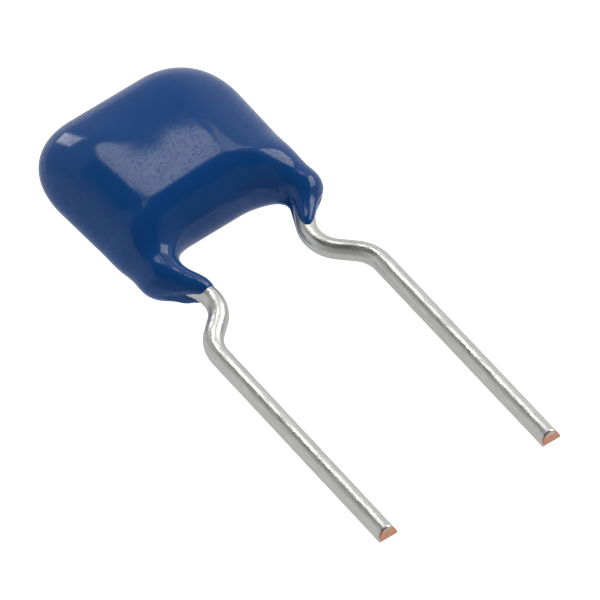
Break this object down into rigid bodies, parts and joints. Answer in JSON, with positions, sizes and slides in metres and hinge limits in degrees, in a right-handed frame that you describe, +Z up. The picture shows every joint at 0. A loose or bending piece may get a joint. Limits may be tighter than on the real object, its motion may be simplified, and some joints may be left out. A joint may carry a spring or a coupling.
{
  "type": "polyester film capacitor",
  "caption": "Epoxy-dipped polyester film capacitor with a flat rounded-square body, two coated legs and two crimped radial wire leads.",
  "frame": {"origin": "under the middle of the whole part, body and leads, at the level of the body's lower flat face", "axes": "+X across the two leads from left to right, +Y from the cut ends of the leads to the far edge of the body, +Z up through the thickness"},
  "size_m": [0.0058, 0.015, 0.0021],
  "materials": {
    "epoxy": "glossy blue dipped epoxy",
    "film_stack": "stacked metallised film",
    "bare_film": "clear polyester film",
    "sprayed_metal": "rough sprayed zinc",
    "solder": "solder",
    "tinned_wire": "tinned copper wire, slightly scuffed"
  },
  "bodies": {
    "root": {"coating": "epoxy", "film_stack": "film_stack", "upper_cover_film": "bare_film", "lower_cover_film": "bare_film", "left_end_spray": "sprayed_metal", "right_end_spray": "sprayed_metal", "left_solder": "solder", "right_solder": "solder", "left_lead": "tinned_wire", "right_lead": "tinned_wire"}
  },
  "joints": []
}
